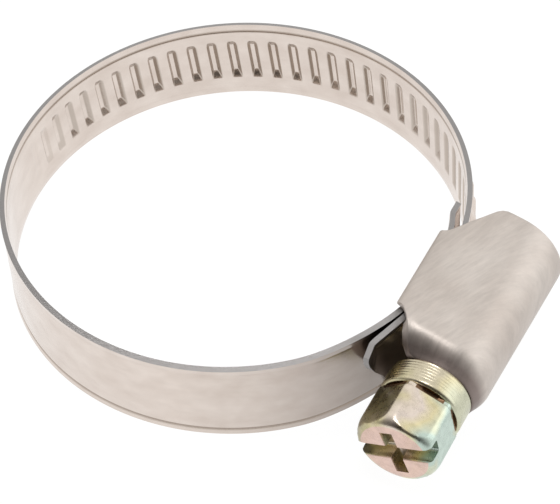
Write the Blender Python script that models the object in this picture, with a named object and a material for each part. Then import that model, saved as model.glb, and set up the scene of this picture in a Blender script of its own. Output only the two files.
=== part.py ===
"""Worm-drive hose clamp: one-piece housing, worm screw and a 9 mm band that closes a 41 mm ring.

The ring's axis is +Z, the housing is at +X of the ring and the screw's head points to -Y. The
band is one strip of spring steel; here it is cut across into short rigid lengths, hinged at its
inner face, so that it can close. Metres.
"""

import math

import bmesh
import bpy
import numpy as np
from mathutils import Matrix, Vector

MM = 0.001

# Band: one strip, stamped with recesses in its inner face that stand out as ribs on its outer face.
BAND_WIDTH = 9.0 * MM
BAND_THICK = 0.5 * MM
RING_INNER_R = 20.8 * MM
LINK_LENGTH = 6.0 * MM
LINK_GAP = 0.04 * MM
RIB_PITCH = LINK_LENGTH / 3
RIB_HEIGHT = 0.44 * MM
RIB_BASE = 1.10 * MM
RIB_CREST = 0.35 * MM
RIB_LENGTH = 5.0 * MM
RIB_END_RUN = 0.95 * MM
RIB_LEAN_R = 3.6 * MM
THREADED_LINKS = range(11, 23)

# Where the band runs, as clockwise angles from +X about the ring's axis.
JOIN_ANGLE = math.radians(48)
RISE_START = math.radians(345)
RISE_END = math.radians(367)
LEAVE_ANGLE = math.radians(378)
TAIL_RISE = 0.45 * MM
TAIL_STRAIGHT = 4.9 * MM
TAIL_LIP = 1.7 * MM
TAIL_LIP_TURN = math.radians(26)
TAIL_SNIP = 4.3 * MM

# Fixed end of the band: flat on the housing's floor, with a tongue that bends in beyond it.
FLOOR_GAP = 0.05 * MM
FIXED_NEAR_Y = -4.5 * MM
FIXED_FAR_Y = 1.0 * MM
TONGUE_TURN = math.radians(22)
TONGUE_ARC_END = np.array([19.05 * MM, 5.2 * MM])
TONGUE_LIP = 1.3 * MM

# Housing: bent from one sheet round the band and the worm.
SHEET = 0.7 * MM
FLOOR_THICK = 0.43 * MM
FLOOR_X = 19.3 * MM
HOUSING_HALF_WIDTH = 5.3 * MM
WALL_FLAT_TO_X = 21.6 * MM
CAP_R = 4.6 * MM
NECK_R = 4.3 * MM
FAR_Y = 6.5 * MM
SHOULDER_FAR_Y = -8.5 * MM
SHOULDER_NEAR_Y = -9.8 * MM
NECK_Y = -10.6 * MM
NECK_WALL = 1.2 * MM
NECK_BORE_R = 2.0 * MM
FOOT_FAR_Y = 2.3 * MM
FOOT_NEAR_Y = -6.9 * MM
FOOT_X = 19.9 * MM
SLOPE_TOP_X = 23.2 * MM
SLOPE_NEAR_X = 21.7 * MM
CAP_SEGMENTS = 20

# Worm screw.
AXIS_X = 24.15 * MM
COLLAR_R = 3.85 * MM
COLLAR_Y = (-10.65 * MM, -13.05 * MM)
UNDERCUT_R = 3.2 * MM
HEX_FLATS = 7.0 * MM
HEX_CORNER_R = 3.95 * MM
HEX_Y = (-13.5 * MM, -18.0 * MM)
HEX_CHAMFER = 0.75 * MM
HEX_TURN = math.radians(70)
SLOT_TURN = math.radians(20)
SLOT_WIDTH = 1.2 * MM
SLOT_DEPTH = 1.3 * MM
CROSS_LENGTH = 4.6 * MM
WORM_CREST_R = 1.75 * MM
WORM_ROOT_R = 1.45 * MM
WORM_END_Y = 5.2 * MM
WORM_NEAR_Y = -8.6 * MM
ROD_END_Y = 5.4 * MM
WORM_FLARE = 0.8 * MM
WORM_FLARE_Y = (2.6 * MM, 5.0 * MM)
WORM_RUN_OUT = 0.8 * MM
ROUND_SEGMENTS = 48
WORM_SEGMENTS = 24

# The origin is at the middle of the box's underside.
RING_TOP_R = RING_INNER_R + BAND_THICK + RIB_HEIGHT
TO_ORIGIN = Vector(((RING_TOP_R - AXIS_X - CAP_R) / 2, -RIB_HEIGHT / 2, HOUSING_HALF_WIDTH))
MID_R = RING_INNER_R + BAND_THICK / 2
FLOOR_TOP_X = FLOOR_X + FLOOR_THICK
FIXED_X = FLOOR_TOP_X + FLOOR_GAP + BAND_THICK / 2
# The ribs lean as the thread of a full-size worm does. The worm here is slimmer, to clear them.
RIB_LEAN = RIB_PITCH / (2 * math.pi * RIB_LEAN_R)


def clear_scene():
    for obj in list(bpy.data.objects):
        bpy.data.objects.remove(obj, do_unlink=True)


def material(name, colour, roughness):
    made = bpy.data.materials.new(name)
    made.use_nodes = True
    shader = made.node_tree.nodes["Principled BSDF"]
    shader.inputs["Base Color"].default_value = (*colour, 1)
    shader.inputs["Roughness"].default_value = roughness
    shader.inputs["Metallic"].default_value = 1.0
    return made


def add_object(name, mesh, finish, origin=Vector((0, 0, 0)), smooth_below=30):
    """Adds the mesh, whose points are in the ring's frame, with its origin at the given point."""
    mesh.transform(Matrix.Translation(-origin))
    mesh.materials.append(finish)
    mesh.shade_smooth()
    mesh.set_sharp_from_angle(angle=math.radians(smooth_below))
    obj = bpy.data.objects.new(name, mesh)
    obj.location = origin + TO_ORIGIN
    bpy.context.scene.collection.objects.link(obj)
    return obj


def mesh_from(bm, name):
    """Turns a bmesh into a mesh with its faces pointing out."""
    bmesh.ops.recalc_face_normals(bm, faces=bm.faces)
    mesh = bpy.data.meshes.new(name)
    bm.to_mesh(mesh)
    bm.free()
    return mesh


def boolean(mesh, cutter, operation):
    """The exact Boolean of two meshes, as a new mesh."""
    pair = [bpy.data.objects.new("work", mesh), bpy.data.objects.new("tool", cutter)]
    for obj in pair:
        bpy.context.scene.collection.objects.link(obj)
    step = pair[0].modifiers.new("cut", "BOOLEAN")
    step.operation = operation
    step.solver = "EXACT"
    step.object = pair[1]
    graph = bpy.context.evaluated_depsgraph_get()
    result = bpy.data.meshes.new_from_object(pair[0].evaluated_get(graph))
    for obj in pair:
        bpy.data.objects.remove(obj, do_unlink=True)
    return result


# ---- the band's centre line, as seen from above ----


def heading(clockwise):
    """Unit direction of clockwise travel at this clockwise angle of the ring."""
    return np.array([-math.sin(clockwise), -math.cos(clockwise)])


def on_ring(clockwise, radius):
    return radius * np.array([math.cos(clockwise), -math.sin(clockwise)])


def hermite(start, start_way, end, end_way, pull_start, pull_end, count):
    """Points of a smooth curve from start to end, leaving and arriving along the given ways."""
    reach = np.linalg.norm(end - start)
    u = np.linspace(0, 1, count)[:, None]
    leave = (u**3 - 2 * u**2 + u) * start_way * reach * pull_start
    arrive = (u**3 - u**2) * end_way * reach * pull_end
    return (2 * u**3 - 3 * u**2 + 1) * start + leave + (3 * u**2 - 2 * u**3) * end + arrive


def straight(start, way, length, count):
    return start + way * np.linspace(0, length, count)[1:, None]


def loop_line():
    """From the first hinge clockwise round the ring, through the housing, to the tail's tip."""
    start = np.array([FIXED_X, FIXED_NEAR_Y])
    join = on_ring(JOIN_ANGLE, MID_R)
    first = hermite(start, heading(0), join, heading(JOIN_ANGLE), 0.7, 0.9, 120)
    angles = np.linspace(JOIN_ANGLE, LEAVE_ANGLE, 1600)[1:]
    part = np.clip((angles - RISE_START) / (RISE_END - RISE_START), 0, 1)
    radii = MID_R + TAIL_RISE * part**2 * (3 - 2 * part)
    ring = np.stack([radii * np.cos(angles), -radii * np.sin(angles)], -1)
    run = straight(ring[-1], heading(LEAVE_ANGLE), TAIL_STRAIGHT, 50)
    lip = straight(run[-1], heading(LEAVE_ANGLE - TAIL_LIP_TURN), TAIL_LIP, 18)
    return np.vstack([first, ring, run, lip])


def tongue_line():
    start = np.array([FIXED_X, FIXED_FAR_Y])
    away = np.array([-math.sin(TONGUE_TURN), math.cos(TONGUE_TURN)])
    bend = hermite(start, np.array([0.0, 1.0]), TONGUE_ARC_END, away, 1, 1, 40)
    lip = straight(bend[-1], np.array([0.0, 1.0]), TONGUE_LIP, 14)
    return np.vstack([bend, lip])


class Strip:
    """A centre line that gives points beside itself by the distance travelled along it."""

    def __init__(self, line, outward_side):
        steps = np.linalg.norm(np.diff(line, axis=0), axis=1)
        self.travel = np.concatenate([[0.0], np.cumsum(steps)])
        ways = np.gradient(line, axis=0)
        ways /= np.linalg.norm(ways, axis=1)[:, None]
        self.line = line
        self.out = np.stack([-ways[:, 1], ways[:, 0]], -1) * outward_side

    @property
    def length(self):
        return self.travel[-1]

    def point(self, travelled, outward, z):
        """The point this far along, this far outwards of the centre line and at this height."""
        at = [np.interp(travelled, self.travel, self.line[:, k]) for k in (0, 1)]
        way = [np.interp(travelled, self.travel, self.out[:, k]) for k in (0, 1)]
        return Vector((at[0] + way[0] * outward, at[1] + way[1] * outward, z))


def stations(start, end, step):
    count = max(2, round((end - start) / step) + 1)
    return np.linspace(start, end, count)


def corner_ring(bm, strip, travelled, lower_travelled):
    """The band's four corners at one station, the outer pair first."""
    half_t = BAND_THICK / 2
    half_w = BAND_WIDTH / 2
    spots = ((half_t, half_w), (half_t, -half_w), (-half_t, -half_w), (-half_t, half_w))
    places = (travelled, lower_travelled, lower_travelled, travelled)
    return [bm.verts.new(strip.point(s, out, z)) for s, (out, z) in zip(places, spots)]


def rib_loop(bm, strip, middle, outward, width, length):
    """Four corners of a leaning rectangle on one face of the band."""
    corners = ((-1, 1), (1, 1), (1, -1), (-1, -1))
    points = []
    for side, top in corners:
        z = top * length / 2
        travelled = middle + side * width / 2 - z * RIB_LEAN
        points.append(bm.verts.new(strip.point(travelled, outward, z)))
    return points


def ring_of_quads(bm, outer, inner):
    for k in range(4):
        after = (k + 1) % 4
        bm.faces.new((outer[k], outer[after], inner[after], inner[k]))


def ribbed_face(bm, strip, outline, middle, surface):
    """One cell's face with a rib stamped outwards through it."""
    base = rib_loop(bm, strip, middle, surface, RIB_BASE, RIB_LENGTH)
    short = RIB_LENGTH - 2 * RIB_END_RUN
    crest = rib_loop(bm, strip, middle, surface + RIB_HEIGHT, RIB_CREST, short)
    ring_of_quads(bm, outline, base)
    ring_of_quads(bm, base, crest)
    bm.faces.new(crest)


def band_mesh(name, strip, marks, ribbed, snip=0.0):
    """The band between the given stations, one cell from each to the next, its end cut back below."""
    bm = bmesh.new()
    share = 1 - snip / (marks[-1] - marks[0])
    rings = [corner_ring(bm, strip, mark, marks[0] + (mark - marks[0]) * share) for mark in marks]
    for k in range(len(marks) - 1):
        a, b = rings[k], rings[k + 1]
        middle = (marks[k] + marks[k + 1]) / 2
        bm.faces.new((a[0], b[0], b[3], a[3]))
        bm.faces.new((a[1], a[2], b[2], b[1]))
        outer = (a[0], b[0], b[1], a[1])
        inner = (a[3], b[3], b[2], a[2])
        if not ribbed:
            bm.faces.new(outer)
            bm.faces.new(inner)
            continue
        ribbed_face(bm, strip, outer, middle, BAND_THICK / 2)
        ribbed_face(bm, strip, inner, middle, -BAND_THICK / 2)
    bm.faces.new(rings[0])
    bm.faces.new(rings[-1])
    return mesh_from(bm, name)


def make_band(steel):
    """The fixed end, its tongue, and the hinged links from the housing round to the tail's tip."""
    loop = Strip(loop_line(), 1)
    count = math.ceil(loop.length / LINK_LENGTH)
    hinges = [0.0] + [loop.length - LINK_LENGTH * (count - k) for k in range(1, count + 1)]
    for k in range(count):
        start = hinges[k] + LINK_GAP / 2
        end = hinges[k + 1] - (LINK_GAP / 2 if k < count - 1 else 0)
        ribbed = k in THREADED_LINKS
        marks, snip = stations(start, end, RIB_PITCH), 0.0
        if k == count - 1:
            marks = np.append(stations(start, end - TAIL_LIP, RIB_PITCH / 2), end)
            snip = TAIL_SNIP
        mesh = band_mesh(f"band_link_{k + 1:02d}", loop, marks, ribbed, snip)
        origin = loop.point(hinges[k], -BAND_THICK / 2, 0)
        add_object(mesh.name, mesh, steel, origin)
    make_fixed_end(steel)


def make_fixed_end(steel):
    flat = Strip(np.array([[FIXED_X, FIXED_FAR_Y], [FIXED_X, FIXED_NEAR_Y]]), 1)
    marks = np.array([LINK_GAP / 2, flat.length - LINK_GAP / 2])
    add_object("band_fixed_end", band_mesh("band_fixed_end", flat, marks, False), steel)
    tongue = Strip(tongue_line(), -1)
    marks = np.append(stations(LINK_GAP / 2, tongue.length - TONGUE_LIP, RIB_PITCH / 2), tongue.length)
    mesh = band_mesh("band_tongue", tongue, marks, False)
    add_object("band_tongue", mesh, steel, tongue.point(0, -BAND_THICK / 2, 0))


# ---- housing ----


def section(y, half_width, cap_r, inset):
    """A closed outline in the XZ plane: floor, side walls and the cap's arch, moved in by inset."""
    floor = FLOOR_X + (FLOOR_THICK if inset else 0)
    wall = half_width - inset
    arch = cap_r - inset
    rounding = 0.15 * MM if inset else 0.75 * MM
    right = [(floor, wall - rounding)]
    right += [
        (floor + rounding * (1 - math.cos(a)), wall - rounding * (1 - math.sin(a)))
        for a in np.linspace(0, math.pi / 2, 4)[1:]
    ]
    right.append((WALL_FLAT_TO_X, wall))
    # The arch starts where a line from the wall's upper end touches it.
    away = math.atan2(wall, AXIS_X - WALL_FLAT_TO_X)
    reach = math.hypot(wall, AXIS_X - WALL_FLAT_TO_X)
    touch = math.pi - away - math.acos(min(1.0, arch / reach))
    right += [
        (AXIS_X + arch * math.cos(a), arch * math.sin(a))
        for a in np.linspace(touch, 0, CAP_SEGMENTS // 2 + 1)
    ]
    outline = right + [(x, -z) for x, z in reversed(right[:-1])]
    return [Vector((x, y, z)) for x, z in outline]


def loft(sections, name):
    """A closed solid through outlines that have the same number of points."""
    bm = bmesh.new()
    loops = [[bm.verts.new(point) for point in outline] for outline in sections]
    for low, high in zip(loops, loops[1:]):
        for k in range(len(low)):
            after = (k + 1) % len(low)
            bm.faces.new((low[k], low[after], high[after], high[k]))
    bm.faces.new(loops[0])
    bm.faces.new(loops[-1])
    bmesh.ops.triangulate(bm, faces=bm.faces)
    return mesh_from(bm, name)


def prism(outline, low_z, high_z):
    """An upright solid over an outline of (x, y) points."""
    return loft([[Vector((x, y, z)) for x, y in outline] for z in (low_z, high_z)], "prism")


def turned(profile, segments, name):
    """A solid turned about the screw's axis from (radius, y) points that run from tip to tip."""
    bm = bmesh.new()
    loops = []
    for radius, y in profile:
        angles = [2 * math.pi * k / segments for k in range(segments)]
        loops.append(
            [bm.verts.new((AXIS_X + radius * math.cos(a), y, radius * math.sin(a))) for a in angles]
        )
    for low, high in zip(loops, loops[1:]):
        for k in range(segments):
            after = (k + 1) % segments
            bm.faces.new((low[k], low[after], high[after], high[k]))
    bm.faces.new(loops[0])
    bm.faces.new(loops[-1])
    return mesh_from(bm, name)


def make_housing(steel):
    half = HOUSING_HALF_WIDTH
    neck_half = NECK_R + 0.02 * MM
    shell = loft(
        [
            section(FAR_Y, half, CAP_R, 0),
            section(SHOULDER_FAR_Y, half, CAP_R - 0.1 * MM, 0),
            section(SHOULDER_NEAR_Y, neck_half, NECK_R, 0),
            section(NECK_Y, neck_half, NECK_R, 0),
        ],
        "housing",
    )
    cavity = loft(
        [
            section(FAR_Y + MM, half, CAP_R, SHEET),
            section(SHOULDER_FAR_Y + 0.2 * MM, half, CAP_R - 0.1 * MM, SHEET),
            section(NECK_Y + NECK_WALL, neck_half, NECK_R, SHEET),
        ],
        "cavity",
    )
    bore = turned([(NECK_BORE_R, NECK_Y - MM), (NECK_BORE_R, SHOULDER_FAR_Y)], ROUND_SEGMENTS, "bore")
    low_x = FLOOR_X - MM
    far_slope = prism(
        [
            (low_x, FAR_Y + MM),
            (low_x, FOOT_FAR_Y),
            (FOOT_X, FOOT_FAR_Y),
            (SLOPE_TOP_X, FAR_Y),
            (SLOPE_TOP_X, FAR_Y + MM),
        ],
        -2 * half,
        2 * half,
    )
    near_slope = prism(
        [
            (low_x, NECK_Y - MM),
            (SLOPE_NEAR_X, NECK_Y - MM),
            (SLOPE_NEAR_X, NECK_Y),
            (FOOT_X, FOOT_NEAR_Y),
            (low_x, FOOT_NEAR_Y),
        ],
        -2 * half,
        2 * half,
    )
    clear_z = half - SHEET
    near_notch = prism(
        [
            (low_x, FIXED_NEAR_Y + 0.1 * MM),
            (low_x, NECK_Y - MM),
            (FOOT_X, NECK_Y - MM),
            (FOOT_X, FIXED_NEAR_Y + 0.1 * MM),
        ],
        -clear_z,
        clear_z,
    )
    far_notch = prism(
        [
            (low_x, FAR_Y + MM),
            (low_x, FIXED_FAR_Y - 0.1 * MM),
            (FOOT_X, FIXED_FAR_Y - 0.1 * MM),
            (FOOT_X, FAR_Y + MM),
        ],
        -clear_z,
        clear_z,
    )
    for cutter in (cavity, bore, far_slope, near_slope, near_notch, far_notch):
        shell = boolean(shell, cutter, "DIFFERENCE")
    shell.name = "housing"
    shell.materials.clear()
    add_object("housing", shell, steel)


# ---- worm screw ----


def ridge_radius(part, y):
    """The worm's radius this far into a pitch: the ridge runs out at both ends, and the far end flares."""
    shape = np.interp(part, (0.0, 0.28, 0.48, 0.72, 1.0), (0, 0, 1, 1, 0))
    run = min(y - WORM_NEAR_Y, WORM_END_Y - y) / WORM_RUN_OUT
    low, high = WORM_FLARE_Y
    flare = WORM_FLARE * min(1.0, max(0.0, (y - low) / (high - low)))
    return WORM_ROOT_R + (WORM_CREST_R - WORM_ROOT_R) * shape * min(1.0, max(0.0, run)) + flare


def threaded_rod(start, end):
    """A rod with one helical ridge, a turn longer than asked for at its far end."""
    turns = math.ceil((end - start) / RIB_PITCH) + 1
    parts = (0.0, 0.28, 0.48, 0.72)
    bm = bmesh.new()
    grid = []
    for k in range(WORM_SEGMENTS + 1):
        angle = 2 * math.pi * k / WORM_SEGMENTS
        column = []
        for place in range(turns * len(parts)):
            turn, step = divmod(place, len(parts))
            y = start + RIB_PITCH * (turn + parts[step] + k / WORM_SEGMENTS)
            radius = ridge_radius(parts[step], y)
            spot = (AXIS_X + radius * math.sin(angle), y, radius * math.cos(angle))
            # The last column is the first one, a pitch further along.
            again = k == WORM_SEGMENTS and place + len(parts) < turns * len(parts)
            column.append(grid[0][place + len(parts)] if again else bm.verts.new(spot))
        grid.append(column)
    for left, right in zip(grid, grid[1:]):
        for k in range(len(left) - 1):
            bm.faces.new((left[k], left[k + 1], right[k + 1], right[k]))
    step = len(parts) + 1
    close_rod_end(bm, [column[0] for column in grid], grid[0][:step])
    close_rod_end(bm, [column[-1] for column in grid], grid[-1][-step:])
    return mesh_from(bm, "rod")


def close_rod_end(bm, rim, step):
    """Closes one helical end of the rod with a fan to a point on its axis."""
    y = sum(vert.co.y for vert in rim) / len(rim)
    centre = bm.verts.new((AXIS_X, y, 0))
    for run in (rim, step):
        for a, b in zip(run, run[1:]):
            bm.faces.new((a, b, centre))


def about_axis(points, turn):
    """Places (across, y, along) points round the screw's axis, turned from +X towards +Z."""
    cos, sin = math.cos(turn), math.sin(turn)
    return [Vector((AXIS_X + a * cos - b * sin, y, a * sin + b * cos)) for a, y, b in points]


def hexagon(y, flats, turn):
    reach = flats / 2 / math.cos(math.pi / 6)
    angles = [turn + math.radians(30 + 60 * k) for k in range(6)]
    return [Vector((AXIS_X + reach * math.cos(a), y, reach * math.sin(a))) for a in angles]


def slot_box(width, length, turn):
    """A block that cuts a slot across the hexagon's face."""
    w, b = width / 2, length / 2
    floor = HEX_Y[1] + SLOT_DEPTH
    base = [(b, floor, w), (-b, floor, w), (-b, floor, -w), (b, floor, -w)]
    top = [(a, HEX_Y[1] - MM, c) for a, _, c in base]
    return loft([about_axis(base, turn), about_axis(top, turn)], "slot")


def make_head():
    """Hexagon with turned corners and a slot crossed by a shorter one."""
    hexagonal = [hexagon(y, HEX_FLATS, HEX_TURN) for y in HEX_Y]
    head = loft(hexagonal, "head")
    back, front = HEX_Y
    rounding = turned(
        [
            (HEX_CORNER_R, back + MM),
            (HEX_CORNER_R, front + HEX_CHAMFER * 0.6),
            (HEX_CORNER_R - HEX_CHAMFER * 0.35, front + HEX_CHAMFER * 0.22),
            (HEX_CORNER_R - HEX_CHAMFER, front),
        ],
        ROUND_SEGMENTS,
        "rounding",
    )
    head = boolean(head, rounding, "INTERSECT")
    head = boolean(head, slot_box(SLOT_WIDTH, 3 * HEX_CORNER_R, SLOT_TURN), "DIFFERENCE")
    return boolean(
        head,
        slot_box(SLOT_WIDTH * 0.85, CROSS_LENGTH, SLOT_TURN + math.pi / 2),
        "DIFFERENCE",
    )


def make_screw(zinc):
    """Worm, journal, collar and head in one piece, with the origin on its axis."""
    rod = threaded_rod(COLLAR_Y[1] + 0.2 * MM, ROD_END_Y)
    beyond = 2 * COLLAR_R
    far_block = [(beyond, ROD_END_Y, beyond), (-beyond, ROD_END_Y, beyond)]
    far_block += [(-a, y, -b) for a, y, b in far_block]
    lifted = [(a, y + 10 * MM, b) for a, y, b in far_block]
    block = loft([about_axis(far_block, 0), about_axis(lifted, 0)], "block")
    rod = boolean(rod, block, "DIFFERENCE")
    front, rim = COLLAR_Y[1], 0.35 * MM
    body = turned(
        [
            (COLLAR_R - 0.1 * MM, COLLAR_Y[0]),
            (COLLAR_R, COLLAR_Y[0] - 0.1 * MM),
            (COLLAR_R, front + rim),
            (COLLAR_R - 0.1 * MM, front + rim * 0.3),
            (COLLAR_R - rim, front),
            (UNDERCUT_R, front),
            (UNDERCUT_R, HEX_Y[0] - 0.4 * MM),
        ],
        ROUND_SEGMENTS,
        "body",
    )
    screw = boolean(rod, body, "UNION")
    screw = boolean(screw, make_head(), "UNION")
    screw.name = "worm_screw"
    screw.materials.clear()
    add_object("worm_screw", screw, zinc, Vector((AXIS_X, 0, 0)))


def main():
    clear_scene()
    stainless = material("stainless_band", (0.62, 0.60, 0.57), 0.32)
    housing_steel = material("stainless_housing", (0.64, 0.61, 0.58), 0.42)
    zinc = material("yellow_zinc", (0.66, 0.60, 0.36), 0.3)
    make_band(stainless)
    make_housing(housing_steel)
    make_screw(zinc)


main()
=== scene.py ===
"""Looks of the worm-drive hose clamp: an unbroken band with its stamped thread, the folded housing
and the plated screw, on a pale floor under soft studio light."""

import math

import bmesh
import bpy
import numpy as np
from mathutils import Matrix, Vector

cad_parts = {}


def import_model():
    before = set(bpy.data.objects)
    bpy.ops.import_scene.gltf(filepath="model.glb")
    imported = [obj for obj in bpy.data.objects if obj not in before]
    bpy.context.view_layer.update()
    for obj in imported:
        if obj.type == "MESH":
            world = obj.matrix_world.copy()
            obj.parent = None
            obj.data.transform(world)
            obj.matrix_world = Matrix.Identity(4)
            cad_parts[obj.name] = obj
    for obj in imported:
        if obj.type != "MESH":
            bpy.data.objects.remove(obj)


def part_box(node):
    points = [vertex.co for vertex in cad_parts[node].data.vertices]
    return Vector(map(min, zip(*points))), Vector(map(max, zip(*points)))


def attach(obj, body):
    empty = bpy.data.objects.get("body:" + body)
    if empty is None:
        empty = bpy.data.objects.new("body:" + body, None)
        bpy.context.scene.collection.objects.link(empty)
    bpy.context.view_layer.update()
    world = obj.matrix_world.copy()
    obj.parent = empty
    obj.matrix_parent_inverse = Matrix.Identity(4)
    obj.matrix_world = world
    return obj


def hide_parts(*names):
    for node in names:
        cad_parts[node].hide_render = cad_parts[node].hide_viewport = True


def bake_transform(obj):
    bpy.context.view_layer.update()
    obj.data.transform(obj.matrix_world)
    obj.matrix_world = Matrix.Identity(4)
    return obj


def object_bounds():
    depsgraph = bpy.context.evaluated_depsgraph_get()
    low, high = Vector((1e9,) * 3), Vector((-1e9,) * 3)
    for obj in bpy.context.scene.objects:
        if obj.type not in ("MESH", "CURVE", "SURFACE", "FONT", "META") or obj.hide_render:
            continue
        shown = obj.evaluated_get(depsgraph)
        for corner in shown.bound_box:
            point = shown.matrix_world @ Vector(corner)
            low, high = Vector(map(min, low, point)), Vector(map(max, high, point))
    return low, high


MM = 0.001

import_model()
cad_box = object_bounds()

# ---- places, in millimetres from the ring's axis, and the same formulas as the CAD's ----

AXIS_X = 24.15
HEX_FRONT_Y = -18.0
screw_low, screw_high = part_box("worm_screw")
ORIGIN = Vector(
    (
        (screw_low[0] + screw_high[0]) / 2 - AXIS_X * MM,
        screw_low[1] - HEX_FRONT_Y * MM,
        (screw_low[2] + screw_high[2]) / 2,
    )
)

BAND_THICK = 0.5
BAND_HALF = 4.5
MID_R = 21.05
FIXED_X = 20.03
FIXED_NEAR_Y = -4.5
FIXED_FAR_Y = 1.0
PITCH = 2.0
RIBS_PER_LINK = 3
LINKS = 24
THREADED = range(10, 23)
THREAD_FADE = (58.5, 67.0)
JOIN_ANGLE = math.radians(48)
RISE = (math.radians(345), math.radians(367), 0.45)
LEAVE_ANGLE = math.radians(378)
TAIL_STRAIGHT = 4.9
TAIL_LIP = 1.7
TAIL_LIP_TURN = math.radians(26)
TAIL_SNIP = 4.3
TONGUE_TURN = math.radians(22)
TONGUE_ARC_END = np.array([19.05, 5.2])
TONGUE_LIP = 1.3
# The ribs lean as the worm's helix does at the radius where it would meet them.
MESH_R = 3.6
RIB_LEAN = PITCH / (2 * math.pi * MESH_R)
# The skin starts inside the housing, and the centre line starts a little before it.
SKIN_START = -2.5
LEAD_IN = 3.5


def smooth(u):
    """Eases from 0 to 1 as u goes from 0 to 1."""
    u = np.clip(u, 0, 1)
    return u * u * (3 - 2 * u)


def heading(angle):
    """The band's way at this angle, clockwise round the ring."""
    return np.array([-math.sin(angle), -math.cos(angle)])


def on_ring(angle, radius):
    """The point at this clockwise angle."""
    return radius * np.array([math.cos(angle), -math.sin(angle)])


def hermite(start, start_way, end, end_way, pull_start, pull_end, count):
    """A curve that leaves the start and reaches the end in the given ways."""
    reach = np.linalg.norm(end - start)
    u = np.linspace(0, 1, count)[:, None]
    leave = (u**3 - 2 * u**2 + u) * start_way * reach * pull_start
    arrive = (u**3 - u**2) * end_way * reach * pull_end
    return (2 * u**3 - 3 * u**2 + 1) * start + leave + (3 * u**2 - 2 * u**3) * end + arrive


def straight(start, way, length, count):
    """Points on a straight run, without its first."""
    return start + way * np.linspace(0, length, count)[1:, None]


def loop_line():
    """Centre line from inside the housing clockwise round the ring to the tail's tip."""
    start = np.array([FIXED_X, FIXED_NEAR_Y])
    join = on_ring(JOIN_ANGLE, MID_R)
    first = hermite(
        start, heading(0), join, heading(JOIN_ANGLE), pull_start=0.7, pull_end=0.9, count=120
    )
    angles = np.linspace(JOIN_ANGLE, LEAVE_ANGLE, 1600)[1:]
    part = (angles - RISE[0]) / (RISE[1] - RISE[0])
    radii = MID_R + RISE[2] * smooth(part)
    ring = np.stack([radii * np.cos(angles), -radii * np.sin(angles)], -1)
    run = straight(ring[-1], heading(LEAVE_ANGLE), TAIL_STRAIGHT, 50)
    lip = straight(run[-1], heading(LEAVE_ANGLE - TAIL_LIP_TURN), TAIL_LIP, 18)
    return np.vstack([first, ring, run, lip])


def tongue_line():
    """Centre line of the tongue beyond the housing's far end."""
    start = np.array([FIXED_X, FIXED_FAR_Y])
    away = np.array([-math.sin(TONGUE_TURN), math.cos(TONGUE_TURN)])
    bend = hermite(start, np.array([0.0, 1.0]), TONGUE_ARC_END, away, 1, 1, 40)
    lip = straight(bend[-1], np.array([0.0, 1.0]), TONGUE_LIP, 14)
    return np.vstack([bend, lip])


# The lead-in's last point stays this far off the line's first one.
LEAD_GAP = 0.05
LEAD_POINTS = 20


class Strip:
    """A centre line in plan, by the distance travelled along it."""

    def __init__(self, line, outward_side, lead_in=0.0):
        if lead_in:
            way = (line[0] - line[1]) / np.linalg.norm(line[0] - line[1])
            before = line[0] + way * np.linspace(lead_in, LEAD_GAP, LEAD_POINTS)[:, None]
            line = np.vstack([before, line])
        steps = np.linalg.norm(np.diff(line, axis=0), axis=1)
        self.travel = np.concatenate([[0.0], np.cumsum(steps)]) - lead_in
        ways = np.gradient(line, axis=0)
        ways /= np.linalg.norm(ways, axis=1)[:, None]
        self.line = line
        self.out = np.stack([-ways[:, 1], ways[:, 0]], -1) * outward_side

    def at(self, travelled, outward):
        """Points in plan this far along and this far outwards of the centre line."""
        spot = [np.interp(travelled, self.travel, self.line[:, k]) for k in (0, 1)]
        way = [np.interp(travelled, self.travel, self.out[:, k]) for k in (0, 1)]
        return np.stack([spot[k] + way[k] * outward for k in (0, 1)], -1)


LOOP = Strip(loop_line(), 1, lead_in=LEAD_IN)
LENGTH = LOOP.travel[-1]
LINK = RIBS_PER_LINK * PITCH
HINGES = [0.0] + [LENGTH - LINK * (LINKS - k) for k in range(1, LINKS)]

# ---- meshes ----


def make_object(name, points, quads, maps=None):
    """A smooth-shaded object from points in millimetres in the ring's frame."""
    mesh = bpy.data.meshes.new(name)
    places = np.asarray(points, float) * MM + np.array(ORIGIN)
    mesh.from_pydata(places.tolist(), [], [tuple(int(v) for v in quad) for quad in quads])
    mesh.update()
    corners = np.zeros(len(mesh.loops), np.int32)
    mesh.loops.foreach_get("vertex_index", corners)
    for layer_name, uvs in (maps or {}).items():
        layer = mesh.uv_layers.new(name=layer_name)
        layer.data.foreach_set("uv", np.asarray(uvs, np.float32)[corners].ravel())
    bm = bmesh.new()
    bm.from_mesh(mesh)
    bmesh.ops.recalc_face_normals(bm, faces=bm.faces)
    bm.to_mesh(mesh)
    bm.free()
    mesh.shade_smooth()
    obj = bpy.data.objects.new(name, mesh)
    bpy.context.scene.collection.objects.link(obj)
    return obj


def tube_quads(rows, columns, close_rows=False):
    """Quads of a grid of rows by columns whose columns close up."""
    quads = []
    for i in range(rows if close_rows else rows - 1):
        after = (i + 1) % rows
        for j in range(columns):
            right = (j + 1) % columns
            here, there = i * columns, after * columns
            quads.append((here + j, here + right, there + right, there + j))
    return quads


# ---- band ----

LIP_START = 3.74
LIP_WIDTH = 0.9
LIP_OUT = 0.1
CREASE_WIDTH = 0.11
CREASE_DEPTH = 0.06
CLOSED_CREASE = 0.15
RIB_HEIGHT = 0.44
# Half widths of a rib's flat top, and of its foot on the near and the far side.
RIB_HALF_WIDTH = (0.18, 0.44, 0.62)
RIB_HALF_LENGTH = (1.6, 2.5)
# How round a rib's upper and lower ends are: a low power is rounder.
RIB_END_POWERS = (2.5, 12)
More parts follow.
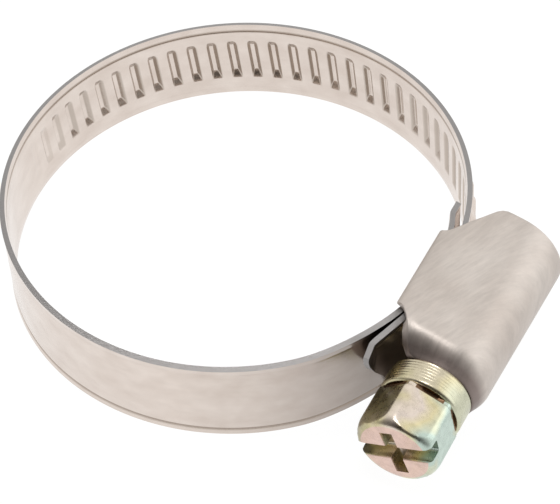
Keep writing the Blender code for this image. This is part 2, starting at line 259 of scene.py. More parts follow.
# The rows of points lean with a rib, and ease upright over this distance next to its pitch lines.
LEAN_EASE = 0.42
SEAM_ROW = 0.03
OUTER_HALF = 4.28
EDGE = ((4.5, -0.98), (4.46, -0.5), (4.38, 0.5), (4.34, 0.98))
# Texture V is the height plus this on the outer face, and the height minus this on the inner.
FACE_V = 20
FACE_Z = np.array(
    [0, 0.5, 1.0, 1.4, 1.52, 1.6, 1.68, 1.77, 1.9, 2.05, 2.2, 2.32, 2.42, 2.5, 2.58, 2.7, 3.0]
    + [3.4, 3.52, 3.58, 3.63, 3.67, 3.7, 3.74, 3.78, 3.81, 3.85, 3.9, 3.96, 4.06, 4.2, 4.4]
)
FACE_Z = np.concatenate([-FACE_Z[:0:-1], FACE_Z])
RIB_U = np.array([0, 0.08, 0.14, 0.18, 0.22, 0.27, 0.34, 0.41, 0.46, 0.5, 0.55, 0.64, 0.8, 1.0])
RIB_U = np.concatenate([-RIB_U[:0:-1], RIB_U])


def cross_section():
    """(z, side) round the section: outer face, lower edge, inner face, upper edge."""
    outer = [(math.copysign(min(abs(z), OUTER_HALF), z), 1.0) for z in FACE_Z[::-1]]
    lower = [(-z, side) for z, side in EDGE[::-1]]
    inner = [(z, -1.0) for z in FACE_Z]
    return np.array(outer + lower + inner + list(EDGE))


SECTION = cross_section()
COLUMNS = len(SECTION)
HALF = COLUMNS // 2
# Each half of the section is a face and then an edge; these are the edges' first columns.
EDGE_STARTS = (HALF - len(EDGE), COLUMNS - len(EDGE))


def lip_offset(z, side):
    """How far the rolled edge leans outwards, with a crease where it starts."""
    past = np.abs(z) - LIP_START
    lean = LIP_OUT * smooth(past / LIP_WIDTH)
    # The crease is open on the inner face's upper side and the outer face's lower side.
    open_side = np.where(side * z < 0, 1.0, CLOSED_CREASE)
    crease = CREASE_DEPTH * open_side * np.exp(-((past / CREASE_WIDTH) ** 2))
    on_face = np.abs(side) > 0.9
    return lean - np.sign(side) * np.where(on_face, crease, 0)


def rib_height(across, z):
    """How far a stamped rib stands out: a flat-topped bar with sloping sides and ends."""
    low, near_high, far_high = RIB_HALF_WIDTH
    high = np.where(across < 0, near_high, far_high)
    beside = np.clip((np.abs(across) - low) / (high - low), 0, None)
    low, high = RIB_HALF_LENGTH
    beyond = np.clip((np.abs(z) - low) / (high - low), 0, None)
    power = np.where(z > 0, *RIB_END_POWERS)
    rise = np.clip(1 - (beside**power + beyond**power) ** (1 / power), 0, 1)
    return RIB_HEIGHT * (0.7 * rise + 0.3 * smooth(rise))


TINY = 1e-6
PLAIN_STEP = PITCH / 5


def band_rows(start, end):
    """Stations from start to end as (travelled, lean, centre of the rib or None)."""
    rows = []
    place = start
    while place < end - TINY:
        link = sum(hinge <= place + TINY for hinge in HINGES[1:])
        if link in THREADED:
            centre = place + PITCH / 2
            for u in RIB_U[:-1]:
                lean = float(smooth((PITCH / 2 - abs(u)) / LEAN_EASE))
                rows.append((centre + u, lean, centre))
            place += PITCH
        else:
            step = min(PLAIN_STEP, end - place)
            rows.append((place, 0.0, None))
            place += step
    # A narrow row at each end keeps the shading level across the seams.
    first = [(start, 0.0, None), (start + SEAM_ROW, 0.0, None)]
    return first + rows[1:] + [(end - SEAM_ROW, 0.0, None), (end, 0.0, None)]


# Rows lean fully up to the first height, and stand upright past the second.
LEAN_Z = (2.7, 3.5)


def sheet_points(strip, rows, shift, snip):
    """Points, texture places and the painted shade of the thread's walls, for a piece of band, its
    end cut back below.
    """
    z, side = SECTION[:, 0], SECTION[:, 1]
    start, end = rows[0][0], rows[-1][0]
    points, places, recess_shade = [], [], []
    for travelled, lean, centre in rows:
        leaning = smooth((LEAN_Z[1] - np.abs(z)) / (LEAN_Z[1] - LEAN_Z[0]))
        along = travelled - z * RIB_LEAN * lean * leaning
        cut = snip * smooth(0.5 - z / (2 * BAND_HALF)) * (travelled - start) / (end - start)
        along = along - cut
        outward = side * BAND_THICK / 2 + lip_offset(z, side)
        wall_shade = np.zeros_like(z)
        if centre is not None:
            low, high = THREAD_FADE
            fade = smooth((centre - low) / (high - low))
            rib = rib_height(along - centre + z * RIB_LEAN, z)
            outward = outward + fade * rib
            # Painted shade on the thread's sloping walls, on the inner face only.
            share = rib / RIB_HEIGHT
            wall_shade = np.where(side < 0, fade * np.clip(7 * share * (1 - share), 0, 1), 0)
        flat = strip.at(along, outward)
        points.append(np.column_stack([flat, z]))
        places.append(np.column_stack([along + shift, z + side * FACE_V]))
        recess_shade.append(np.column_stack([wall_shade, np.zeros_like(z)]))
    return np.vstack(points), np.vstack(places), np.vstack(recess_shade)


def cap_ends(rows):
    """Quads over both ends of a piece."""
    quads = []
    lower, upper = EDGE_STARTS
    for first in (0, (rows - 1) * COLUMNS):
        ring = [first + k for k in range(COLUMNS)]
        # The section's outer and inner faces have the same stations, so they join straight across.
        outer, inner = ring[:lower], ring[HALF:upper][::-1]
        for k in range(len(outer) - 1):
            quads.append((outer[k], outer[k + 1], inner[k + 1], inner[k]))
        for a, edge, b in (
            (outer[-1], ring[lower:HALF], inner[-1]),
            (inner[0], ring[upper:], outer[0]),
        ):
            quads.append((a, edge[0], edge[3], b))
            quads.append(tuple(edge))
    return quads


def band_piece(name, strip, rows, shift=0.0, snip=0.0):
    """One length of the band's skin, with maps along the strip and of the painted shade on the
    thread's walls.
    """
    points, places, recess_shade = sheet_points(strip, rows, shift, snip)
    quads = tube_quads(len(rows), COLUMNS) + cap_ends(len(rows))
    obj = make_object(name, points, quads, {"along": places, "recess_shade": recess_shade})
    mark_edges(obj.data, len(rows))
    return obj


def mark_edges(mesh, rows):
    """Gives the cut edges the second material, and parts the ends' shading from the faces'."""
    steps = len(EDGE) - 1
    edge = {start + k for start in EDGE_STARTS for k in range(steps)}
    sides = (rows - 1) * COLUMNS
    finish = [int(k >= sides or k % COLUMNS in edge) for k in range(len(mesh.polygons))]
    mesh.polygons.foreach_set("material_index", finish)
    ends = {v for poly in list(mesh.polygons)[sides:] for v in poly.vertices}
    corners = {start + k for start in EDGE_STARTS for k in (0, steps)}
    for line in mesh.edges:
        a, b = line.vertices
        along_corner = a % COLUMNS == b % COLUMNS and a % COLUMNS in corners
        if along_corner or (a in ends and b in ends):
            line.use_edge_sharp = True


def world(flat):
    """A point in plan, on the ring's middle plane, in the scene's frame."""
    return Vector((flat[0] * MM, flat[1] * MM, 0)) + ORIGIN


def make_loop():
    """The band's skin round the ring, in lengths that each span one hinge."""
    pieces = []
    seams = [SKIN_START] + [HINGES[k] - PITCH for k in range(1, LINKS)] + [LENGTH]
    for k in range(LINKS):
        rows = band_rows(seams[k], seams[k + 1])
        snip = TAIL_SNIP if k == LINKS - 1 else 0.0
        obj = band_piece(f"band_skin_{k + 1:02d}", LOOP, rows, snip=snip)
        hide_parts(f"band_link_{k + 1:02d}")
        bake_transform(obj)
        pieces.append(obj)
    return pieces


TONGUE_BEND = (-1.2, 2.2)
TONGUE_ROWS = 40
# Shifts the tongue's texture off the loop's.
TONGUE_SHIFT = -20


def make_tongue():
    """The fixed end's skin inside the housing and the tongue beyond it, in one piece."""
    start, end = (FIXED_X, FIXED_NEAR_Y - SKIN_START), (FIXED_X, FIXED_FAR_Y)
    strip = Strip(np.vstack([np.linspace(start, end, 12), tongue_line()[1:]]), -1)
    rows = [(s, 0.0, None) for s in np.linspace(0, strip.travel[-1], TONGUE_ROWS)]
    tongue = band_piece("band_tongue_skin", strip, rows, shift=TONGUE_SHIFT)
    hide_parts("band_tongue", "band_fixed_end")
    start, end = (world((FIXED_X, FIXED_FAR_Y + past)) for past in TONGUE_BEND)
    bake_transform(tongue)
    return tongue


def make_band(steel, cut_steel):
    """The whole strip, its faces in one material and its cut edges in the other."""
    for obj in [*make_loop(), make_tongue()]:
        obj.data.materials.append(steel)
        obj.data.materials.append(cut_steel)


# ---- housing ----

CAP_TOP_R = 4.6
FLOOR_X = 19.1
CAP_WIDENING = 0.075
FLOOR_THICK = 0.42
SHEET = 0.65
WALL = 5.28
FOLD = 0.6
WALL_TO_X = 21.6
RIM = 0.1
SHELL_LINES = 90
# The neck is pressed in over this length from its start, and the cap widens from its own start.
NECK_START_Y = -8.3
NECK_LENGTH = 2.8
CAP_START_Y = -8.5
CAP_LENGTH = 15
CAP_FROM_X = 21.9
NECK_TOP_R = 3.9
NECK_SIDE_R = 3.35
# The sheet's near edge from the fold to the cap, and its slanting far edge, as Xs and Ys.
NEAR_EDGE = ((19.9, 21.2, 21.8), (-6.9, -8.7, -10.6))
FAR_EDGE = ((19.9, 23.2), (2.3, 6.8))
FLOOR_NEAR_Y = FIXED_NEAR_Y + 0.4
FLOOR_HALF = 4.75


def housing_path():
    """The section's outer line behind the neck, from the floor's middle round the cap and back."""
    half = [(FLOOR_X, z) for z in np.linspace(0, WALL - FOLD, 8)[:-1]]
    half += [
        (FLOOR_X + FOLD * (1 - math.cos(a)), WALL - FOLD * (1 - math.sin(a)))
        for a in np.linspace(0, math.pi / 2, 8)
    ]
    half += [(x, WALL) for x in np.linspace(FLOOR_X + FOLD, WALL_TO_X, 7)[1:]]
    away = math.atan2(WALL, AXIS_X - WALL_TO_X)
    reach = math.hypot(WALL, AXIS_X - WALL_TO_X)
    touch = math.pi - away - math.acos(CAP_TOP_R / reach)
    first = (AXIS_X + CAP_TOP_R * math.cos(touch), CAP_TOP_R * math.sin(touch))
    for u in np.linspace(0, 1, 9)[1:-1]:
        half.append((WALL_TO_X + (first[0] - WALL_TO_X) * u, WALL + (first[1] - WALL) * u))
    half += [
        (AXIS_X + CAP_TOP_R * math.cos(a), CAP_TOP_R * math.sin(a))
        for a in np.linspace(touch, 0, 24)
    ]
    half = np.array(half)
    mirror = half[-2:0:-1] * np.array([1, -1])
    return np.vstack([half, mirror])


def relaxed(line, rounds):
    """The closed line with its corners eased."""
    for _ in range(rounds):
        line = 0.5 * line + 0.25 * (np.roll(line, 1, 0) + np.roll(line, -1, 0))
    return line


def neck_path(main):
    """The same line where the sheet is pressed in round the screw's collar."""
    x, z = main[:, 0] - AXIS_X, main[:, 1]
    angle = np.arctan2(np.abs(z), x)
    radius = NECK_TOP_R * np.cos(angle) ** 2 + NECK_SIDE_R * np.sin(angle) ** 2
    neck_x = np.where(x > 0, radius * np.cos(angle), x)
    neck_z = np.where(x > 0, radius * np.sin(angle), np.minimum(np.abs(z), NECK_SIDE_R))
    return np.column_stack([AXIS_X + neck_x, neck_z * np.sign(z)])


def housing_ends(x, z):
    """Where along Y the sheet starts and ends at each point of the section."""
    near, far = np.interp(x, *NEAR_EDGE), np.interp(x, *FAR_EDGE)
    floor = smooth((20.2 - x) / 0.3) * smooth((FLOOR_HALF - np.abs(z)) / 0.2)
    near = near + (FLOOR_NEAR_Y - near) * floor
    far = far + (FIXED_FAR_Y - far) * floor
    return relaxed(near[:, None], 2)[:, 0], relaxed(far[:, None], 2)[:, 0]


def shell_stations(near, far, thick):
    """(y, depth) at the section's points for each line round the shell: along the outer face, over
    the far rim, back along the inner face and over the near rim."""
    outside = np.zeros_like(thick)
    run = far - near - 2 * RIM
    along = np.linspace(0, 1, SHELL_LINES)

    def rim(edge, back, face, into_sheet, degrees):
        """Lines over the rounding between an edge and one face."""
        for a in np.radians(degrees):
            y = edge + back * RIM * (1 - math.sin(a))
            yield y, face + into_sheet * RIM * (1 - math.cos(a))

    stations = [(near + RIM + run * u, outside) for u in along]
    stations += rim(far, -1, outside, 1, (30, 60, 90))
    stations += rim(far, -1, thick, -1, (90, 60, 30, 0))
    stations += [(near + RIM + run * u, thick) for u in along[::-3]]
    stations += rim(near, 1, thick, -1, (30, 60, 90))
    stations += rim(near, 1, outside, 1, (90, 60, 30))
    return stations


def shell_line(main, neck, y, depth):
    """One line round the section, at each point's Y and depth below the outer face."""
    pressed = smooth((NECK_START_Y - y) / NECK_LENGTH)[:, None]
    on_cap = smooth((main[:, 0] - CAP_FROM_X) / 2)
    widening = 1 + CAP_WIDENING * np.clip((y - CAP_START_Y) / CAP_LENGTH, 0, 1) * on_cap
    wide = (main - (AXIS_X, 0)) * widening[:, None] + (AXIS_X, 0)
    line = wide * (1 - pressed) + neck * pressed
    tangent = np.roll(line, -1, 0) - np.roll(line, 1, 0)
    tangent /= np.linalg.norm(tangent, axis=1)[:, None]
    moved = line + np.stack([tangent[:, 1], -tangent[:, 0]], -1) * depth[:, None]
    return np.column_stack([moved[:, 0], y, moved[:, 1]])


def make_housing(steel):
    main = relaxed(housing_path(), 3)
    neck = relaxed(neck_path(main), 3)
    near, far = housing_ends(main[:, 0], main[:, 1])
    thick = SHEET + (FLOOR_THICK - SHEET) * smooth((19.7 - main[:, 0]) / 0.4)
    lines = [shell_line(main, neck, y, depth) for y, depth in shell_stations(near, far, thick)]
    quads = tube_quads(len(lines), len(main), close_rows=True)
    obj = make_object("housing_shell", np.vstack(lines), quads)
    obj.data.materials.append(steel)
    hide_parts("housing")
    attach(obj, "housing")


# ---- screw ----

HEX_FLATS = 7.0
HEX_TURN = math.radians(70)
SLOT_TURN = math.radians(20)
# How far in the hexagon's corners are eased, and over what angle.
CORNER_EASE = (0.06, 0.045)
CORNER_R = 3.88
CORE_R = 1.45
CREST = 0.3
WORM_Y = (5.2, -8.6)
# The thread's profile over one turn, as shares of the pitch and of the crest's height.
THREAD_PROFILE = ((0, 0.28, 0.48, 0.72, 1), (0, 0, 1, 1, 0))
RUN_OUT = 0.8
FLARE = 0.8
FLARE_Y = (2.6, 5.0)
COLLAR_Y = (-10.65, -12.7)
COLLAR_R = 3.85
COLLAR_FRONT_ROUND = 0.35
GROOVE_DEPTH = 0.015
GROOVE_STEP = 0.06
GROOVE_WAVE = 21
UNDERCUT_R = 3.2
UNDERCUT_Y = (-13.06, -13.45)
HEX_BACK_Y = -13.5
ROUND_COLUMNS = 144
# Width, length, turn and depth of the crossed slots.
LONG_SLOT = (1.4, 12, SLOT_TURN, 1.5)
SHORT_SLOT = (1.05, 4.8, SLOT_TURN + math.pi / 2, 1.4)
# How much wider each side of a slot is at these depths.
SLOT_FLARE = ((0.25, -1.5), (0.08, 0.0), (0.0, 0.2))
SLOT_FILLET = 0.25


def hex_radius(angle):
    """Distance to the hexagon's side, with its corners eased."""
    turned = (angle - HEX_TURN + math.pi / 6) % (math.pi / 3) - math.pi / 6
    depth, width = CORNER_EASE
    corner = np.exp(-(((math.pi / 6 - abs(turned)) / width) ** 2))
    return HEX_FLATS / 2 / np.cos(turned) - depth * corner


def worm_rows(angles):
    """(y, radius at each angle) along the worm, whose far end is flared."""
    rows = []
    for y in np.linspace(*WORM_Y, 150):
        phase = (-y / PITCH + angles / (2 * math.pi)) % 1
        ridge = np.interp(phase, *THREAD_PROFILE)
        run = min(1, max(0, min(y - WORM_Y[1], WORM_Y[0] - y) / RUN_OUT))
        flare = FLARE * min(1, max(0, (y - FLARE_Y[0]) / (FLARE_Y[1] - FLARE_Y[0])))
        rows.append((y, CORE_R + CREST * ridge * run + flare))
    return rows


def collar_rows(round_):
    """The finely grooved collar, from its back to the rounding at its front."""
    back, front = COLLAR_Y
    rows = [(back, CORE_R * round_), (back, 3.72 * round_)]
    rows += [(back - 0.03, 3.8 * round_), (back - 0.15, COLLAR_R * round_)]
    for y in np.arange(-10.9, front, -GROOVE_STEP):
        rows.append((y, (COLLAR_R - 0.02 + GROOVE_DEPTH * math.cos(y * GROOVE_WAVE)) * round_))
    ease = COLLAR_FRONT_ROUND
    for a in np.radians([15, 30, 45, 60, 75, 90]):
        rows.append((front - ease * math.sin(a), (COLLAR_R - ease + ease * math.cos(a)) * round_))
    return rows


def head_rows(angles):
    """The hexagon from the undercut behind it to the rim of its flat face."""
    back = hex_radius(angles)
    full = np.minimum(back, CORNER_R)
    # The undercut is deepest behind the middle of each flat and runs out at the corners.
    under = np.minimum(UNDERCUT_R + 1.4 * (back - HEX_FLATS / 2), CORNER_R - 0.04)
    start, end = UNDERCUT_Y
    rows = [(start, np.minimum(under + 0.05, 3.6)), (start - 0.06, under), (end, under)]
    rows += [(HEX_BACK_Y, np.minimum(back - 0.04, CORNER_R - 0.02)), (HEX_BACK_Y - 0.05, full)]
    rows += [(y, full) for y in np.linspace(-13.7, -16.6, 12)]
    # The chamfer turns the corners round before it reaches the flats.
    for y, cut in ((-16.9, 0.02), (-17.2, 0.07), (-17.45, 0.16), (-17.65, 0.29), (-17.8, 0.45)):
        rows.append((y, np.minimum(back, CORNER_R - cut)))
    for y, cut in ((-17.9, 0.62), (-17.96, 0.8), (HEX_FRONT_Y, 1.05)):
        rows.append((y, np.minimum(back - 0.1, CORNER_R - cut)))
    return rows


def screw_rows(angles):
    """(y, radius at each angle) from the worm's far end to the head's middle."""
    round_ = np.ones_like(angles)
    rows = [(5.4, 0.02 * round_), (5.4, 2.1 * round_), (5.28, 2.25 * round_)]
    rows += worm_rows(angles) + [(-8.9, CORE_R * round_)] + collar_rows(round_) + head_rows(angles)
    return rows + [(HEX_FRONT_Y, radius * round_) for radius in (2.0, 1.0, 0.02)]


def make_screw(zinc):
    count = ROUND_COLUMNS
    angles = np.arange(count) * 2 * math.pi / count
    rows = screw_rows(angles)
    cos, sin = np.cos(angles), np.sin(angles)
    points = [np.column_stack([AXIS_X + r * cos, np.full(count, y), r * sin]) for y, r in rows]
    last = (len(rows) - 1) * count
    quads = tube_quads(len(rows), count)
    quads += [tuple(range(count)), tuple(range(last, last + count))]
    obj = make_object("screw_shell", np.vstack(points), quads)
    for slot in LONG_SLOT, SHORT_SLOT:
        cutter = slot_cutter(*slot)
        step = obj.modifiers.new("slot", "BOOLEAN")
        step.operation = "DIFFERENCE"
        step.solver = "EXACT"
        step.object = cutter
        apply_modifiers(obj)
        bpy.data.objects.remove(cutter, do_unlink=True)
    obj.data.materials.clear()
    obj.data.materials.append(zinc)
    bpy.context.view_layer.update()
    obj.data.set_sharp_from_angle(angle=math.radians(38))
    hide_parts("worm_screw")
    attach(obj, "screw")


def apply_modifiers(obj):
    """Replaces the mesh by the modified one."""
    graph = bpy.context.evaluated_depsgraph_get()
    mesh = bpy.data.meshes.new_from_object(obj.evaluated_get(graph))
    obj.modifiers.clear()
    obj.data = mesh


def slot_cutter(width, length, turn, depth):
    """A block with a rounded floor and a flared mouth, across the head."""
    half, fillet = width / 2, SLOT_FILLET
    profile = [(-half - out, HEX_FRONT_Y + deep) for out, deep in SLOT_FLARE]
    profile += [
        (-half + fillet * (1 - math.cos(a)), HEX_FRONT_Y + depth - fillet + fillet * math.sin(a))
        for a in np.radians([0, 30, 60, 90])
    ]
    profile += [(-w, y) for w, y in profile[::-1]]
    points, count = [], len(profile)
    cos, sin = math.cos(turn), math.sin(turn)
    for b in (-length / 2, length / 2):
        points += [(AXIS_X + b * cos - w * sin, y, b * sin + w * cos) for w, y in profile]
    quads = [tuple(range(count)), tuple(range(count, 2 * count))]
    quads += [(k, (k + 1) % count, count + (k + 1) % count, count + k) for k in range(count)]
    obj = make_object("cutter", points, quads)
    obj.data.shade_flat()
    return obj


# ---- materials ----


class Nodes:
    """Short calls that add and link shader nodes."""

    def __init__(self, name):
        self.material = bpy.data.materials.new(name)
        self.material.use_nodes = True
        self.tree = self.material.node_tree
        self.shader = self.tree.nodes["Principled BSDF"]

    def add(self, kind, inputs=None, **settings):
        node = self.tree.nodes.new("ShaderNode" + kind)
        for key, value in settings.items():
            setattr(node, key, value)
        for key, value in (inputs or {}).items():
            socket = node.inputs[key]
            if isinstance(value, bpy.types.NodeSocket):
                self.tree.links.new(value, socket)
            else:
                socket.default_value = value
        return node

    def out(self, kind, output, inputs=None, **settings):
        return self.add(kind, inputs, **settings).outputs[output]

    def math(self, operation, a, b=0.0, c=0.0, clamp=False):
        inputs = {0: a, 1: b, 2: c}
        return self.out("Math", 0, inputs, operation=operation, use_clamp=clamp)

    def weighed(self, a, share_a, b, share_b):
        """Two values added in these shares."""
        shares = (self.math("MULTIPLY", a, share_a), self.math("MULTIPLY", b, share_b))
        return self.math("ADD", *shares)

    def bump(self, height, strength, distance):
        """Links a bump whose full height is this many millimetres."""
        inputs = {"Height": height, "Strength": strength, "Distance": distance * MM}
        self.link(self.out("Bump", 0, inputs), "Normal")

    def ramp(self, value, stops):
        node = self.add("ValToRGB", {0: value})
        ramp = node.color_ramp
        while len(ramp.elements) < len(stops):
            ramp.elements.new(0.5)
        for element, (place, colour) in zip(ramp.elements, stops):
            element.position = place
            element.color = (*colour, 1)
        return node.outputs[0]

    def mix(self, share, a, b, blend="MIX"):
        node = self.add("Mix", data_type="RGBA", blend_type=blend)
        for socket, value in ((node.inputs[0], share), (node.inputs[6], a), (node.inputs[7], b)):
            if isinstance(value, bpy.types.NodeSocket):
                self.tree.links.new(value, socket)
            else:
                socket.default_value = (*value, 1) if isinstance(value, tuple) else value
        return node.outputs[2]

    def link(self, value, name):
        self.tree.links.new(value, self.shader.inputs[name])


def grey(value):
    return (value, value, value)


def noise(nodes, place, scale, detail, rough):
    inputs = {"Vector": place, "Scale": scale, "Detail": detail, "Roughness": rough}
    return nodes.out("TexNoise", 0, inputs)


def stretched(nodes, place, by):
    """Places for a pattern that is finer along the axes with the larger factors."""
    return nodes.out("Mapping", 0, {"Vector": place, "Scale": by})


def band_steel():
    """Bright rolled strip: long fine lines, faint clouds and a few rubbed marks, with painted
    shade in its open creases and on its thread's walls, and a painted dark reflection near the
    housing.
    """
    nodes = Nodes("stainless_band")
    along = nodes.out("UVMap", 0, uv_map="along")
    lines = noise(nodes, stretched(nodes, along, (0.05, 9.0, 1.0)), 3.0, 4.0, 0.6)
    clouds = noise(nodes, stretched(nodes, along, (0.35, 0.5, 1.0)), 1.0, 3.0, 0.5)
    rubs = noise(nodes, stretched(nodes, along, (1.2, 0.8, 1.0)), 2.0, 5.0, 0.7)
    tone = nodes.ramp(clouds, [(0.3, (0.68, 0.59, 0.53)), (0.7, (0.765, 0.68, 0.62))])
    streak = nodes.ramp(lines, [(0.3, grey(0.93)), (0.7, grey(1.0))])
    clean = nodes.mix(1.0, tone, streak, "MULTIPLY")
    travelled, face_v, _ = nodes.add("SeparateXYZ", {0: along}).outputs
    depth = nodes.math("ABSOLUTE", face_v)
    height_up = nodes.math("ABSOLUTE", nodes.math("SUBTRACT", depth, FACE_V))
    off_crease = nodes.math("ABSOLUTE", nodes.math("SUBTRACT", height_up, LIP_START))
    near_crease = nodes.math("MULTIPLY", off_crease, 3.2)
    crease_shade = nodes.ramp(near_crease, [(0.1, grey(0.75)), (0.8, grey(0.0))])
    # Painted shade darkens the open creases: the inner face's upper one and the outer face's lower
    # one.
    shut = nodes.math("GREATER_THAN", depth, FACE_V)
    crease_shade = nodes.math("SUBTRACT", crease_shade, nodes.math("MULTIPLY", shut, 0.7), clamp=True)
    # Painted shade darkens the walls of the thread's recesses.
    recess_shade = nodes.add("SeparateXYZ", {0: nodes.out("UVMap", 0, uv_map="recess_shade")}).outputs[0]
    clean = nodes.mix(nodes.math("MULTIPLY", recess_shade, 0.85), clean, (0.46, 0.40, 0.35))
    # Painted dark reflection also darkens the outer face near the housing, where the screw and the
    # housing are mirrored.
    tint = nodes.ramp(
        nodes.math("DIVIDE", travelled, 40.0),
        [(0.15, grey(0.4)), (0.3, grey(0.68)), (0.42, grey(0.88)), (0.6, grey(1.0))],
    )
    outer = nodes.math("GREATER_THAN", face_v, 0.0)
    loop_only = nodes.math("GREATER_THAN", travelled, -4.0)
    shaded_near_housing = nodes.mix(1.0, clean, tint, "MULTIPLY")
    clean = nodes.mix(nodes.math("MULTIPLY", outer, loop_only), clean, shaded_near_housing)
    nodes.link(nodes.mix(crease_shade, clean, (0.30, 0.24, 0.19)), "Base Color")
    nodes.link(nodes.math("MULTIPLY_ADD", rubs, 0.14, 0.13), "Roughness")
    nodes.bump(nodes.weighed(lines, 0.6, rubs, 0.4), 0.12, 0.06)
    nodes.shader.inputs["Metallic"].default_value = 1.0
    return nodes.material


def cut_steel():
    """The strip's sheared edges: duller and greyer than its faces."""
    nodes = Nodes("sheared_edge")
    along = nodes.out("UVMap", 0, uv_map="along")
    grain = noise(nodes, stretched(nodes, along, (1.5, 6.0, 1.0)), 2.0, 4.0, 0.6)
    tone = nodes.ramp(grain, [(0.3, (0.23, 0.22, 0.215)), (0.7, (0.36, 0.345, 0.34))])
    nodes.link(tone, "Base Color")
    nodes.bump(grain, 0.3, 0.05)
    nodes.shader.inputs["Roughness"].default_value = 0.38
    nodes.shader.inputs["Metallic"].default_value = 1.0
    return nodes.material


def housing_steel():
    """Satin sheet with fine slanting scratches, and painted dark reflection in the pressed neck.
    """
    nodes = Nodes("stainless_housing")
    place = nodes.out("TexCoord", "Object")
    turned = nodes.out("Mapping", 0, {"Vector": place, "Rotation": (0.0, 0.5, 0.35)})
    lines = noise(nodes, stretched(nodes, turned, (3400.0, 420.0, 420.0)), 1.0, 4.0, 0.7)
    grain = noise(nodes, place, 2200.0, 3.0, 0.6)
    clouds = noise(nodes, place, 160.0, 3.0, 0.5)
    tone = nodes.ramp(clouds, [(0.3, (0.555, 0.495, 0.45)), (0.7, (0.65, 0.595, 0.55))])
    streak = nodes.ramp(lines, [(0.3, grey(0.82)), (0.7, grey(1.0))])
    # Painted dark reflection: the pressed neck is darker towards the screw's collar.
    forward = nodes.add("SeparateXYZ", {0: place}).outputs[1]
    near = nodes.math("DIVIDE", nodes.math("SUBTRACT", ORIGIN.y - 8 * MM, forward), 3 * MM)
    tint = nodes.ramp(
        near, [(0.3, grey(1.0)), (0.62, (0.50, 0.46, 0.46)), (0.85, (0.42, 0.38, 0.38))]
    )
    tone = nodes.mix(1.0, tone, tint, "MULTIPLY")
    nodes.link(nodes.mix(1.0, tone, streak, "MULTIPLY"), "Base Color")
    nodes.link(nodes.math("MULTIPLY_ADD", lines, 0.15, 0.4), "Roughness")
    nodes.bump(nodes.weighed(lines, 0.7, grain, 0.3), 0.35, 0.06)
    nodes.shader.inputs["Metallic"].default_value = 1.0
    return nodes.material


def yellow_zinc():
    """Chromated plating: the film's colour drifts across from olive through yellow and pink to
    green, with a pink face and a yellower collar, and painted shade darkens the olive side."""
    nodes = Nodes("yellow_zinc")
    place = nodes.out("TexCoord", "Object")
    tint = noise(nodes, place, 260.0, 2.0, 0.45)
    fine = noise(nodes, place, 1500.0, 4.0, 0.6)
    x, y, z = nodes.add("SeparateXYZ", {0: place}).outputs
    axis = ORIGIN.x + AXIS_X * MM
    across = nodes.math("DIVIDE", nodes.math("SUBTRACT", x, axis - 4 * MM), 8 * MM)
    waver = nodes.math("MULTIPLY", nodes.math("SUBTRACT", tint, 0.5), 0.9)
    drift = nodes.math("ADD", across, waver)
    # The darker olive at the low-X end is painted shade; the drift of hue is the plating's own.
    colour = nodes.ramp(
        drift,
        [
            (0.1, (0.34, 0.315, 0.24)),
            (0.3, (0.62, 0.55, 0.32)),
            (0.42, (0.76, 0.66, 0.54)),
            (0.58, (0.78, 0.68, 0.60)),
            (0.7, (0.76, 0.68, 0.42)),
            (0.88, (0.54, 0.65, 0.58)),
        ],
    )
    face = nodes.math("LESS_THAN", y, ORIGIN.y + (HEX_FRONT_Y + 0.06) * MM)
    colour = nodes.mix(nodes.math("MULTIPLY", face, 0.9), colour, (0.75, 0.54, 0.47))
    collar = nodes.math("GREATER_THAN", y, ORIGIN.y - 13.08 * MM)
    colour = nodes.mix(nodes.math("MULTIPLY", collar, 0.65), colour, (0.62, 0.565, 0.38))
    # Painted shade: dark brown in the undercut behind the flats.
    aside = nodes.math("POWER", nodes.math("SUBTRACT", x, axis), 2.0)
    up = nodes.math("POWER", nodes.math("SUBTRACT", z, ORIGIN.z), 2.0)
    inside = nodes.math("LESS_THAN", nodes.math("ADD", aside, up), (3.6 * MM) ** 2)
    behind = nodes.math("COMPARE", y, ORIGIN.y - 13.24 * MM, 0.2 * MM)
    colour = nodes.mix(nodes.math("MULTIPLY", inside, behind), colour, (0.20, 0.12, 0.07))
    dull = nodes.ramp(fine, [(0.3, grey(0.8)), (0.65, grey(1.0))])
    nodes.link(nodes.mix(1.0, colour, dull, "MULTIPLY"), "Base Color")
    nodes.link(nodes.math("MULTIPLY_ADD", fine, 0.2, 0.18), "Roughness")
    nodes.bump(fine, 0.15, 0.05)
    nodes.shader.inputs["Metallic"].default_value = 1.0
    return nodes.material


# ---- stage ----


def make_floor():
    """A pale, softly glowing sheet just under the clamp."""
    mesh = bpy.data.meshes.new("floor")
    size, gap = 1.5, 0.02 * MM
    corners = [(-size, -size, 0), (size, -size, 0), (size, size, 0), (-size, size, 0)]
    mesh.from_pydata(corners, [], [(0, 1, 2, 3)])
    obj = bpy.data.objects.new("floor", mesh)
    obj.location = (0, 0, cad_box[0][2] - gap)
    bpy.context.scene.collection.objects.link(obj)
    nodes = Nodes("floor")
    nodes.shader.inputs["Base Color"].default_value = (0.1, 0.1, 0.1, 1)
    nodes.shader.inputs["Roughness"].default_value = 0.9
    nodes.shader.inputs["Specular IOR Level"].default_value = 0.1
    nodes.shader.inputs["Emission Color"].default_value = (1, 1, 1, 1)
    nodes.shader.inputs["Emission Strength"].default_value = 0.95
    obj.data.materials.append(nodes.material)


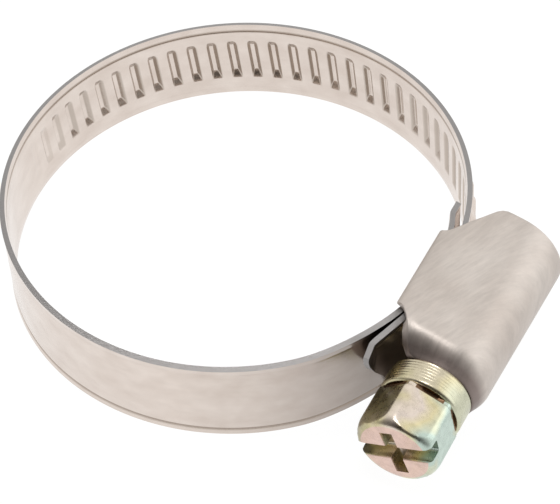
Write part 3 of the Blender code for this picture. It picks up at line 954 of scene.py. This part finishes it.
def make_world():
    """A bright tent that darkens towards the side where the screw's head points."""
    world = bpy.data.worlds.new("studio")
    bpy.context.scene.world = world
    world.use_nodes = True
    tree = world.node_tree
    place = tree.nodes.new("ShaderNodeTexCoord")
    dot = tree.nodes.new("ShaderNodeVectorMath")
    dot.operation = "DOT_PRODUCT"
    dot.inputs[1].default_value = Vector((0.12, -0.92, 0.36)).normalized()
    ramp = tree.nodes.new("ShaderNodeValToRGB")
    tree.links.new(place.outputs["Generated"], dot.inputs[0])
    tree.links.new(dot.outputs["Value"], ramp.inputs[0])
    stops = ramp.color_ramp.elements
    stops[0].position, stops[0].color = 0.1, (1.0, 0.995, 0.985, 1)
    stops[1].position, stops[1].color = 0.9, (0.04, 0.035, 0.03, 1)
    middle = stops.new(0.55)
    middle.color = (0.42, 0.41, 0.40, 1)
    back = tree.nodes["Background"]
    tree.links.new(ramp.outputs[0], back.inputs[0])
    back.inputs[1].default_value = 1.0


def area_light(name, place, target, size, power):
    """A soft light at a place in metres, pointed at the target."""
    lamp = bpy.data.lights.new(name, "AREA")
    lamp.shape = "RECTANGLE"
    lamp.size, lamp.size_y = size
    lamp.energy = power
    obj = bpy.data.objects.new(name, lamp)
    obj.location = place
    way = Vector(target) - Vector(place)
    obj.rotation_euler = way.to_track_quat("-Z", "Y").to_euler()
    bpy.context.scene.collection.objects.link(obj)


# Degrees about the ring's axis; millimetres from it, back along the view and across it.
VIEW_ANGLES = (29.5, 48.945, -3.5176)
VIEW_PLACE = (209.7, -3.846, 3.147)
LENS = 146.86


def make_camera():
    """The viewpoint: azimuth, elevation and a slight roll, with a long lens."""
    azimuth, elevation, roll = (math.radians(a) for a in VIEW_ANGLES)
    distance, aside, above = VIEW_PLACE
    back = Vector(
        (
            math.sin(azimuth) * math.cos(elevation),
            -math.cos(azimuth) * math.cos(elevation),
            math.sin(elevation),
        )
    )
    level = Vector((math.cos(azimuth), math.sin(azimuth), 0))
    upright = back.cross(level)
    right = level * math.cos(roll) + upright * math.sin(roll)
    up = upright * math.cos(roll) - level * math.sin(roll)
    camera = bpy.data.cameras.new("camera")
    camera.sensor_width = 36
    camera.lens = LENS
    camera.clip_start = 0.01
    obj = bpy.data.objects.new("camera", camera)
    place = (back * distance - right * aside - up * above) * MM + ORIGIN
    obj.matrix_world = Matrix.Translation(place) @ Matrix((right, up, back)).transposed().to_4x4()
    bpy.context.scene.collection.objects.link(obj)
    bpy.context.scene.camera = obj


def make_stage():
    make_floor()
    make_world()
    area_light("overhead", (0.0, -0.02, 0.6), (0, 0, 0), (0.2, 0.2), 0.9)
    area_light("side", (0.5, 0.36, 0.22), (0.02, 0, 0), (0.5, 0.5), 0.55)
    make_camera()
    view = bpy.context.scene.view_settings
    view.view_transform = "Standard"
    view.look = "None"


make_band(band_steel(), cut_steel())
make_housing(housing_steel())
make_screw(yellow_zinc())
make_stage()
